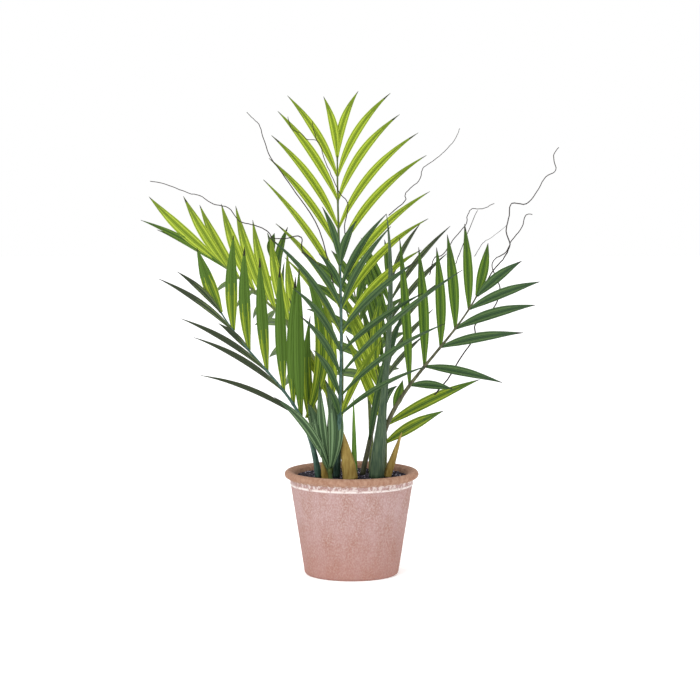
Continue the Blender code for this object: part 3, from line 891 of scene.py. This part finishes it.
def build_leaflet_tree():
    """Blades on points: each a pleated grid bent along its way and bow, painted by place."""
    inputs = {
        "Points along": ("Int", 25),
        "Points across": ("Int", 17),
        "Pleat depth": ("Float", 0.05),
        "Fold": ("Float", 0.22),
        **{part: ("Material", None) for part in LEAF_PARTS},
    }
    tree, start = new_tree("leaflet blades", inputs)
    size = {"Size X": 1.0, "Size Y": 1.0}
    size.update({"Vertices X": start["Points along"], "Vertices Y": start["Points across"]})
    blade = add_node(tree, "GeometryNodeMeshGrid", size).outputs["Mesh"]
    position = add_node(tree, "GeometryNodeInputPosition").outputs[0]
    spot = add_node(tree, "ShaderNodeSeparateXYZ", {0: position}).outputs
    from_foot = add_node(tree, "ShaderNodeMath", {0: spot[0], 1: 0.5}, operation="ADD").outputs[0]
    for name, value in (("along", from_foot), ("across", spot[1])):
        layer = {"Geometry": blade, "Name": name, "Value": value}
        stored = add_node(tree, "GeometryNodeStoreNamedAttribute", layer, data_type="FLOAT", domain="POINT")
        blade = stored.outputs["Geometry"]
    sown = {"Points": start["Geometry"], "Instance": blade}
    placed = add_node(tree, "GeometryNodeInstanceOnPoints", sown).outputs[0]
    real = add_node(tree, "GeometryNodeRealizeInstances", {"Geometry": placed}).outputs[0]
    known = {label: start[label] for label in ("Pleat depth", "Fold")}
    for kind, names in (("FLOAT_VECTOR", LEAFLET_VECTORS), ("FLOAT", LEAFLET_NUMBERS)):
        for name in names:
            layer = add_node(tree, "GeometryNodeInputNamedAttribute", {"Name": name}, data_type=kind)
            known[name] = layer.outputs["Attribute"]
    outline = add_node(tree, "ShaderNodeFloatCurve", {"Value": known["along"]})
    points = outline.mapping.curves[0].points
    while len(points) < len(OUTLINE):
        points.new(0.5, 0.5)
    for point, pair in zip(points, OUTLINE):
        point.location = pair
    outline.mapping.update()
    known["outline"] = outline.outputs[0]
    add_formulas(tree, known, LEAFLET_FORMULAS)
    bend = {"Geometry": real, "Position": known["place"]}
    bent = add_node(tree, "GeometryNodeSetPosition", bend).outputs[0]
    smooth = add_node(tree, "GeometryNodeSetShadeSmooth", {"Geometry": bent}).outputs[0]
    end_tree(tree, smooth, start, {part: known.get(f"in {part}", True) for part in PAINT_ORDER})
    return tree


def build_granule_tree():
    """Granules strewn over a surface, in three dyes dealt out at random."""
    inputs = {
        "Density": ("Float", GRANULE_DENSITY),
        "Size": ("Float", 0.0028),
        "Seed": ("Int", 4),
        **{dye: ("Material", None) for dye in ("Dark", "Grey", "Pale")},
    }
    tree, start = new_tree("soil granules", inputs)
    surface = {"Mesh": start["Geometry"], "Density": start["Density"], "Seed": start["Seed"]}
    strewn = add_node(tree, "GeometryNodeDistributePointsOnFaces", surface).outputs["Points"]
    grain = add_node(tree, "GeometryNodeMeshIcoSphere", {"Radius": 0.5, "Subdivisions": 1}).outputs["Mesh"]
    known = {"Size": start["Size"]}
    for seed, (name, (low, high)) in enumerate(GRANULE_CHANCE.items(), 1):
        limits = {"Min": low, "Max": high, "Seed": seed}
        dealt = add_node(tree, "FunctionNodeRandomValue", limits, data_type="FLOAT_VECTOR")
        known[name] = dealt.outputs[0]
    add_formulas(tree, known, [("size", "SCALE", "form", "Size")])
    sown = {"Points": strewn, "Instance": grain, "Rotation": known["turn"], "Scale": known["size"]}
    placed = add_node(tree, "GeometryNodeInstanceOnPoints", sown).outputs[0]
    limits = {NUMBER_MIN: 0.0, NUMBER_MAX: 1.0, "Seed": len(GRANULE_CHANCE) + 1}
    dealt = add_node(tree, "FunctionNodeRandomValue", limits, data_type="FLOAT")
    layer = {"Geometry": placed, "Name": "kind", "Value": dealt.outputs[1]}
    tagged = add_node(tree, "GeometryNodeStoreNamedAttribute", layer, data_type="FLOAT", domain="INSTANCE")
    real = add_node(tree, "GeometryNodeRealizeInstances", {"Geometry": tagged.outputs[0]}).outputs[0]
    kind = add_node(tree, "GeometryNodeInputNamedAttribute", {"Name": "kind"}, data_type="FLOAT")
    known["kind"] = kind.outputs["Attribute"]
    add_formulas(tree, known, [
        ("in Grey", "GREATER_THAN", "kind", GREY_FROM),
        ("in Pale", "GREATER_THAN", "kind", PALE_FROM),
    ])
    end_tree(tree, real, start, {"Dark": True, "Grey": known["in Grey"], "Pale": known["in Pale"]})
    return tree


# Pieces


def new_object(name, data):
    item = bpy.data.objects.new(name, data)
    bpy.context.scene.collection.objects.link(item)
    return item


def finished_mesh(item, modifier):
    """The mesh that an object's only modifier makes, and the modifier taken off."""
    graph = bpy.context.evaluated_depsgraph_get()
    mesh = bpy.data.meshes.new_from_object(item.evaluated_get(graph), depsgraph=graph)
    item.modifiers.remove(modifier)
    return mesh


def made_plain(item, tree, values, name):
    """The mesh that a tree makes on an object, as a new plain object with no modifier left."""
    grown = item.modifiers.new("Grown", "NODES")
    grown.node_group = tree
    for socket in tree.interface.items_tree:
        if socket.in_out == "INPUT" and socket.name in values:
            grown[socket.identifier] = values[socket.name]
    mesh = finished_mesh(item, grown)
    bpy.data.objects.remove(item)
    mesh.name = name
    if not mesh.polygons:
        raise RuntimeError(f"{name} came out empty")
    return new_object(name, mesh)


def thickened(item, thickness):
    """The object's open blades given a thickness, as a plain mesh."""
    thick = item.modifiers.new("Thickness", "SOLIDIFY")
    thick.thickness = thickness
    thick.offset = 0
    old = item.data
    item.data = finished_mesh(item, thick)
    bpy.data.meshes.remove(old)
    return item


def ringed(name, rings, material):
    """A closed shape through rings of points, each turning to the left as seen from the last."""
    sides = len(rings[0])
    count = len(rings) * sides
    faces = [tuple(reversed(range(sides))), tuple(range(count - sides, count))]
    for start in range(0, count - sides, sides):
        for k in range(sides):
            a, b = start + k, start + (k + 1) % sides
            faces.append((a, b, b + sides, a + sides))
    mesh = bpy.data.meshes.new(name)
    mesh.from_pydata([point for ring in rings for point in ring], [], faces)
    mesh.materials.append(material)
    for polygon in mesh.polygons:
        polygon.use_smooth = len(polygon.vertices) == 4
    return new_object(name, mesh)


def tube(name, points, radii, sides, material, relief=0.0, ridges=0):
    """A closed, slightly uneven tube through points, with flat ends and lengthwise ridges."""
    rings = []
    side = Vector((1, 0, 0))
    last = len(points) - 1
    for i, (point, radius) in enumerate(zip(points, radii)):
        heading = (points[min(i + 1, last)] - points[max(i - 1, 0)]).normalized()
        side = (side - heading * side.dot(heading)).normalized()
        other = heading.cross(side)
        ring = []
        for k in range(sides):
            turn = 2 * math.pi * k / sides
            size = radius * (1 + relief * math.cos(ridges * turn))
            size *= 1 + TUBE_UNEVENNESS * noise.noise(point * TUBE_GRAIN + Vector((k, 0, 0)))
            ring.append(point + size * (math.cos(turn) * side + math.sin(turn) * other))
        rings.append(ring)
    return ringed(name, rings, material)


def clay_roughness(spot, height):
    """How far the turned clay stands out in mm, at a spot in radii and a height in mm."""
    depth, waves = CLAY_WAVES
    pits, pit_waves = CLAY_PITS
    rough = depth * noise.noise(spot * waves + CLAY_SHIFT) + pits * noise.noise(spot * pit_waves)
    if abs(height - LINE_HEIGHT) < LINE_REACH:
        line, line_waves = LINE_WAVES
        rough += line * noise.noise(spot * line_waves) - LINE_SINK
    return rough if EVEN_FOOT < height < POT_HEIGHT else 0.0


def leaf_seeds(name, blades, dice):
    """One point for each blade, with what it is bent by."""
    mesh = bpy.data.meshes.new(name)
    mesh.from_pydata([(0, 0, 0) for _ in blades], [], [])
    for key in LEAFLET_VECTORS:
        layer = mesh.attributes.new(key, "FLOAT_VECTOR", "POINT")
        for item, blade in zip(layer.data, blades):
            item.vector = getattr(blade, key)
    numbers = {
        "width": lambda blade: blade.width * MM * dice.uniform(*WIDTH_CHANCE),
        "arch": lambda blade: blade.way.length * dice.uniform(*ARCH_CHANCE),
        "twist": lambda blade: dice.uniform(*TWIST_CHANCE),
        "upper": lambda blade: blade.upper + dice.uniform(*UPPER_CHANCE),
        "tip": lambda blade: TIP_START + dice.uniform(*TIP_CHANCE),
    }
    for key, value in numbers.items():
        layer = mesh.attributes.new(key, "FLOAT", "POINT")
        for item, blade in zip(layer.data, blades):
            item.value = value(blade)
    return new_object(name + "_seeds", mesh)


# Settings a user would change


class PalmLeafSettings(bpy.types.PropertyGroup):
    """Sizes of the leaflets."""

    thickness: FloatProperty(
        name="Leaf thickness", description="Thickness of a leaflet's blade", default=0.0005, unit="LENGTH"
    )
    fold: FloatProperty(
        name="Fold", description="How far a leaflet folds at its midrib, by its width", default=0.2, min=0
    )
    pleat: FloatProperty(
        name="Pleat depth", description="Depth of a pleat, by the leaflet's width", default=0.045
    )
    seed: IntProperty(name="Leaf seed", description="Seed of the leaflets' small differences", default=7)


class PalmPotSettings(bpy.types.PropertyGroup):
    """Sizes and colours of the pot and its soil."""

    steps: IntProperty(name="Pot steps", description="Faces round the pot", default=192, min=24)
    granule: FloatProperty(
        name="Granule size", description="Mean size of a soil granule", default=0.0028, unit="LENGTH"
    )
    soil: FloatVectorProperty(
        name="Soil colour",
        description="Colour of the darkest granules",
        size=3,
        subtype="COLOR",
        default=linear(DARK_GRAVEL)[:3],
    )


class PalmStageSettings(bpy.types.PropertyGroup):
    """Light round the plant."""

    key_light: FloatProperty(
        name="Key light", description="Power of the large soft light", default=52.0, unit="POWER"
    )
    world_light: FloatProperty(
        name="Surrounding light", description="Strength of the white surroundings", default=1.0
    )


# Operators, one for each piece or group of like pieces


class PALM_OT_pot(bpy.types.Operator):
    """Build the terracotta pot"""

    bl_idname = "palm.pot"
    bl_label = "Build pot"

    def execute(self, context):
        steps = context.scene.palm_pot.steps
        rings = []
        for radius, height in pot_section():
            ring = []
            for k in range(steps):
                turn = 2 * math.pi * k / steps
                spot = Vector((math.cos(turn), math.sin(turn), height * RADII_PER_MM))
                size = (radius + clay_roughness(spot, height)) * MM
                ring.append((math.cos(turn) * size, math.sin(turn) * size, height * MM))
            rings.append(ring)
        pot = ringed("terracotta_pot", rings, terracotta_material())
        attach(pot, "root")
        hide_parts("pot")
        return {"FINISHED"}


class PALM_OT_soil(bpy.types.Operator):
    """Strew the soil with granules"""

    bl_idname = "palm.soil"
    bl_label = "Build soil"

    def execute(self, context):
        settings = context.scene.palm_pot
        dark = plain_material("dyed gravel, dark", (*settings.soil, 1), DARK_GRAVEL_ROUGHNESS)
        values = {"Size": settings.granule, "Dark": dark}
        for dye, (code, roughness) in GRAVEL.items():
            values[dye] = plain_material(f"dyed gravel, {dye.lower()}", linear(code), roughness)
        radius = (SHOULDER_RADIUS - WALL - SURFACE_GAP) * MM
        height = (SOIL_HEIGHT - SURFACE_SINK) * MM
        ring = []
        for k in range(SURFACE_SIDES):
            turn = 2 * math.pi * k / SURFACE_SIDES
            ring.append((radius * math.cos(turn), radius * math.sin(turn), height))
        mesh = bpy.data.meshes.new("soil surface")
        mesh.from_pydata(ring, [], [tuple(range(SURFACE_SIDES))])
        surface = new_object("soil surface", mesh)
        granules = made_plain(surface, build_granule_tree(), values, "soil_granules")
        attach(granules, "root")
        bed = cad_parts["soil"]
        bed.data.materials.clear()
        bed.data.materials.append(dark)
        return {"FINISHED"}


class PALM_OT_stems(bpy.types.Operator):
    """Build the stems and the ribs that carry the leaflets"""

    bl_idname = "palm.stems"
    bl_label = "Build stems"

    def execute(self, context):
        paints = {kind: streaked_material(kind) for kind in STREAKS if kind.startswith("stem")}
        for frond in FRONDS:
            rib = Rib(frond)
            lowest = frond.joints[-1]
            points, radii = [], []
            for i in range(STEM_RINGS + 1):
                share = i / STEM_RINGS
                points.append(rib.at(share))
                if share < lowest:
                    size = mix(frond.stem_radii, share / lowest)
                else:
                    size = mix((frond.stem_radii[1], RIB_TIP_RADIUS), (share - lowest) / (1 - lowest))
                for joint in frond.joints:
                    away = (share - joint) * rib.length / MM / NODE_REACH
                    size += NODE_SWELLING * math.exp(-(away**2))
                radii.append(size * MM)
            stem_name = frond.name.replace("frond", "stem").replace("leaves", "stem")
            paint = paints[frond.stem_paint]
            stem = tube(stem_name + "_and_rib", points, radii, STEM_SIDES, paint, *STEM_RIDGES)
            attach(stem, "root")
            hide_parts(stem_name)
        return {"FINISHED"}


class PALM_OT_leaflets(bpy.types.Operator):
    """Grow the leaflets of every frond, and the single leaves among the stems"""

    bl_idname = "palm.leaflets"
    bl_label = "Build leaflets"

    def execute(self, context):
        settings = context.scene.palm_leaves
        tree = build_leaflet_tree()
        dice = random.Random(settings.seed)
        growth = []
        for frond in FRONDS:
            rib = Rib(frond)
            for right, kind in zip((True, False), frond.paints):
                name = f"{frond.name}_{'right' if right else 'left'}_leaflets"
                growth.append((name, side_blades(frond, rib, right), kind, frond.name if right else None))
        for kind, leaves in INNER_LEAVES.items():
            growth.append((f"inner_{kind}_leaves", inner_blades(leaves), kind, None))
        dyes = {}
        for kind, (_, *codes) in PAINTS.items():
            for part, code in zip(LEAF_PARTS, codes):
                name = f"moulded polyethylene {kind} {part.lower()}"
                dyes[kind, part] = plain_material(name, linear(code), LEAF_ROUGHNESS)
        for name, blades, kind, node in growth:
            values = {"Pleat depth": settings.pleat, "Fold": settings.fold}
            values.update({part: dyes[kind, part] for part in LEAF_PARTS})
            open_blades = made_plain(leaf_seeds(name, blades, dice), tree, values, name)
            leaves = thickened(open_blades, settings.thickness)
            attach(leaves, "root")
            if node:
                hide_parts(node)
        return {"FINISHED"}


class PALM_OT_sheaths(bpy.types.Operator):
    """Build the leaf sheaths, the young leaf and the rolled spear leaf"""

    bl_idname = "palm.sheaths"
    bl_label = "Build sheaths"

    def execute(self, context):
        paints = {kind: streaked_material(kind) for kind in ("ochre", "bright", "spear")}
        shares = [i / SHEATH_RINGS for i in range(SHEATH_RINGS + 1)]
        for sheath in SHEATHS:
            foot = Vector((*sheath.foot, SOIL_HEIGHT + MEETING_GAP))
            points = [foot.lerp(Vector(sheath.tip), share) * MM for share in shares]
            radii = [profile(SHEATH_PROFILE, share) * sheath.radius * MM for share in shares]
            paint = paints[sheath.paint]
            piece = tube(sheath.name + "_shape", points, radii, SHEATH_SIDES, paint, *SHEATH_RIDGES)
            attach(piece, "root")
            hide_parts(sheath.name)
        shares = [i / SPEAR_RINGS for i in range(SPEAR_RINGS + 1)]
        points = [curve_point(SPEAR_CURVE, share) for share in shares]
        radii = [profile(SPEAR_PROFILE, share) * MM for share in shares]
        spear = tube("spear_leaf_shape", points, radii, SHEATH_SIDES, paints["spear"], *SPEAR_RIDGES)
        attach(spear, "root")
        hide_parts("spear_leaf")
        return {"FINISHED"}


class PALM_OT_twigs(bpy.types.Operator):
    """Build the dry wire twigs"""

    bl_idname = "palm.twigs"
    bl_label = "Build twigs"

    def execute(self, context):
        paint = streaked_material("twig")
        for number, twig in enumerate(TWIGS):
            last = len(twig.route) - 1
            depths = [mix(twig.depths, i / last) for i in range(last + 1)]
            points = [Vector((x, y, z)) * MM for (x, z), y in zip(twig.route, depths)]
            line = wandering(points, TWIG_STEPS, TWIG_WANDER * MM, number)
            count = len(line)
            radii = [twig.radius * MM * (TWIG_TIP + (1 - TWIG_TIP) * i / count) for i in range(count)]
            piece = tube(f"dry_twig_{number}", line, radii, TWIG_SIDES, paint)
            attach(piece, "root")
        return {"FINISHED"}


class PALM_OT_stage(bpy.types.Operator):
    """Set the floor, the lights and the camera"""

    bl_idname = "palm.stage"
    bl_label = "Build stage"

    def execute(self, context):
        scene = context.scene
        settings = scene.palm_stage
        mesh = bpy.data.meshes.new("floor")
        corners = [(x * FLOOR_REACH, y * FLOOR_REACH, 0) for x, y in ((-1, -1), (1, -1), (1, 1), (-1, 1))]
        mesh.from_pydata(corners, [], [(0, 1, 2, 3)])
        # Matt white studio paper: fully rough, and lit a little from within so that it stays white
        material, shader = new_material("matt white studio paper", FLOOR_ROUGHNESS, FLOOR_GLOSS)
        shader.inputs["Base Color"].default_value = linear("#FFFFFF")
        shader.inputs["Emission Color"].default_value = linear("#FFFFFF")
        shader.inputs["Emission Strength"].default_value = FLOOR_GLOW
        mesh.materials.append(material)
        floor = new_object("floor", mesh)
        world = bpy.data.worlds.new("white studio")
        world.use_nodes = True
        sky = world.node_tree.nodes["Background"]
        sky.inputs["Color"].default_value = linear("#FFFFFF")
        sky.inputs["Strength"].default_value = settings.world_light
        scene.world = world
        scene.view_settings.view_transform = "Standard"
        for name, place, width, share in LIGHTS:
            data = bpy.data.lights.new(name, "AREA")
            data.size = width
            data.energy = settings.key_light * share
            lamp = new_object(name, data)
            lamp.location = place
            lamp.rotation_euler = (LIGHT_AIM - Vector(place)).to_track_quat("-Z", "Y").to_euler()
        data = bpy.data.cameras.new("camera")
        data.lens = CAMERA_LENS
        data.sensor_width = CAMERA_SENSOR
        camera = new_object("camera", data)
        camera.location = CAMERA_PLACE
        camera.rotation_euler = (math.radians(90 - CAMERA_PITCH), 0, 0)
        scene.camera = camera
        return {"FINISHED"}


class PALM_PT_panel(bpy.types.Panel):
    """Lists the palm's operators and settings"""

    bl_idname = "PALM_PT_panel"
    bl_label = "Potted palm"
    bl_space_type = "VIEW_3D"
    bl_region_type = "UI"
    bl_category = "Palm"

    def draw(self, context):
        for operator in OPERATORS:
            self.layout.operator(operator.bl_idname)
        for group in GROUPS:
            settings = getattr(context.scene, group)
            for key in settings.bl_rna.properties.keys():
                if key not in ("rna_type", "name"):
                    self.layout.prop(settings, key)


OPERATORS = (
    PALM_OT_pot,
    PALM_OT_soil,
    PALM_OT_stems,
    PALM_OT_leaflets,
    PALM_OT_sheaths,
    PALM_OT_twigs,
    PALM_OT_stage,
)
GROUPS = {"palm_leaves": PalmLeafSettings, "palm_pot": PalmPotSettings, "palm_stage": PalmStageSettings}


def register():
    for group in GROUPS.values():
        bpy.utils.register_class(group)
    for key, group in GROUPS.items():
        setattr(bpy.types.Scene, key, PointerProperty(type=group))
    for operator in OPERATORS:
        bpy.utils.register_class(operator)
    bpy.utils.register_class(PALM_PT_panel)


def unregister():
    bpy.utils.unregister_class(PALM_PT_panel)
    for operator in reversed(OPERATORS):
        bpy.utils.unregister_class(operator)
    for key, group in GROUPS.items():
        delattr(bpy.types.Scene, key)
        bpy.utils.unregister_class(group)


def main():
    register()
    bpy.ops.palm.pot()
    bpy.ops.palm.soil()
    bpy.ops.palm.stems()
    bpy.ops.palm.leaflets()
    bpy.ops.palm.sheaths()
    bpy.ops.palm.twigs()
    bpy.ops.palm.stage()


if __name__ == "__main__":
    main()
